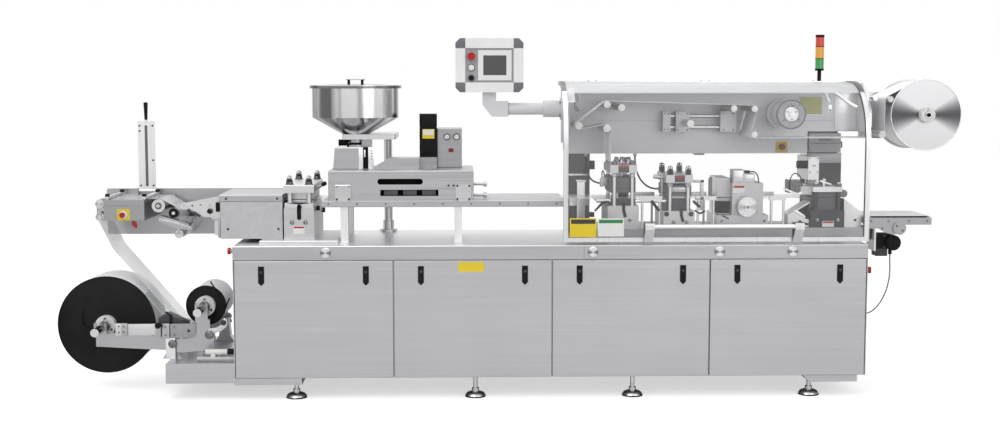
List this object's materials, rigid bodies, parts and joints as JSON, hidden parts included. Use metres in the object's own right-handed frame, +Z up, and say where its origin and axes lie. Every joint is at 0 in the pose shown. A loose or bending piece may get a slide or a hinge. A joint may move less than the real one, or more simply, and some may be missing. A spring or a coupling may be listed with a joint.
{
  "type": "blister packing machine",
  "caption": "Long stainless cabinet machine that forms, fills, seals, embosses and punches blister packs, with film reels, tablet hopper, clear guard and conveyor.",
  "frame": {"origin": "middle of the whole machine's plan at floor level, under the levelling feet", "axes": "+X along the film run towards the delivery conveyor, -Y is the operator side, +Z up"},
  "size_m": [4.4279, 0.776, 1.754],
  "materials": {
    "white_paint": "powder coat, satin",
    "stainless": "brushed stainless",
    "aluminium": "machined aluminium",
    "anodised": "bead-blasted plate",
    "dark_plate": "dark grey paint",
    "chrome": "polished",
    "black_plastic": "matte",
    "black_metal": "satin black",
    "clear_film": "glossy film",
    "foil": "rolled foil, satin",
    "acrylic": "clear sheet",
    "belt_rubber": "pale belt, matte",
    "signal_lens": "translucent lenses",
    "red_plastic": "glossy red",
    "cable_grey": "grey sheath",
    "cable_black": "black sheath"
  },
  "bodies": {
    "machine": {"base_beams": "stainless", "cabinet_body": "stainless", "clamp_bars": "aluminium", "conveyor_belt": "belt_rubber", "conveyor_cable": "cable_grey", "conveyor_frame": "stainless", "conveyor_motor": "black_plastic", "deck": "stainless", "door_latches": "black_plastic", "emboss_cable": "cable_black", "emboss_station": "aluminium", "emergency_stops": "red_plastic", "feeder_box": "stainless", "feeder_motor": "black_plastic", "film_track": "stainless", "film_wall": "stainless", "film_web_formed": "clear_film", "film_web_infeed": "clear_film", "foil_arm": "aluminium", "foil_web": "foil", "forming_base": "anodised", "forming_press": "aluminium", "front_doors": "stainless", "gauge_box": "aluminium", "guide_rollers": "chrome", "heat_seal_cable": "cable_black", "heat_seal_station": "aluminium", "heating_box": "anodised", "heating_cover": "stainless", "hopper": "stainless", "hopper_lid": "stainless", "hopper_support": "stainless", "housing_columns": "stainless", "housing_rollers": "chrome", "levelling_feet": "chrome", "panel_arm": "white_paint", "punch_station": "dark_plate", "rear_doors": "stainless", "registration_slide": "anodised", "roller_bracket": "aluminium", "sloped_cover": "stainless", "splice_table": "aluminium", "stack_light": "signal_lens", "station_bed": "anodised", "traction_unit": "anodised", "unwind_arms": "white_paint", "upper_housing": "stainless", "vibrating_chute": "stainless"},
    "splice_lever": {"splice_lever": "aluminium"},
    "film_reel": {"film_reel": "black_metal", "film_roll": "clear_film"},
    "spare_reel": {"spare_reel": "black_metal", "spare_roll": "clear_film"},
    "foil_reel": {"foil_reel": "black_metal", "foil_roll": "foil"},
    "takeup_reel": {"takeup_reel": "black_metal"},
    "hand_disc": {"hand_disc": "chrome"},
    "guard": {"guard_frame": "stainless", "guard_panel": "acrylic"},
    "panel": {"control_panel": "white_paint"}
  },
  "joints": [
    {"name": "splice_lever_fold", "type": "hinge", "parent": "machine", "child": "splice_lever", "pos_m": [-1.83, 0.209, 0.965], "axis": [1, 0, 0], "range_deg": [0, 90]},
    {"name": "film_reel_spin", "type": "hinge", "parent": "machine", "child": "film_reel", "pos_m": [-1.976, 0.043, 0.33], "axis": [0, 1, 0], "continuous": true},
    {"name": "spare_reel_spin", "type": "hinge", "parent": "machine", "child": "spare_reel", "pos_m": [-1.492, 0.043, 0.423], "axis": [0, 1, 0], "continuous": true},
    {"name": "foil_reel_spin", "type": "hinge", "parent": "machine", "child": "foil_reel", "pos_m": [2.038, 0.043, 1.351], "axis": [0, 1, 0], "continuous": true},
    {"name": "takeup_reel_spin", "type": "hinge", "parent": "machine", "child": "takeup_reel", "pos_m": [1.387, 0.1, 1.352], "axis": [0, 1, 0], "continuous": true},
    {"name": "hand_disc_turn", "type": "hinge", "parent": "machine", "child": "hand_disc", "pos_m": [1.158, -0.12, 0.902], "axis": [0, 1, 0], "continuous": true},
    {"name": "guard_hinge", "type": "hinge", "parent": "machine", "child": "guard", "pos_m": [0.972, 0.073, 1.505], "axis": [-1, 0, 0], "range_deg": [0, 70]},
    {"name": "panel_swivel", "type": "hinge", "parent": "machine", "child": "panel", "pos_m": [-0.103, -0.012, 1.461], "axis": [0, 0, 1], "range_deg": [-90, 90]}
  ]
}
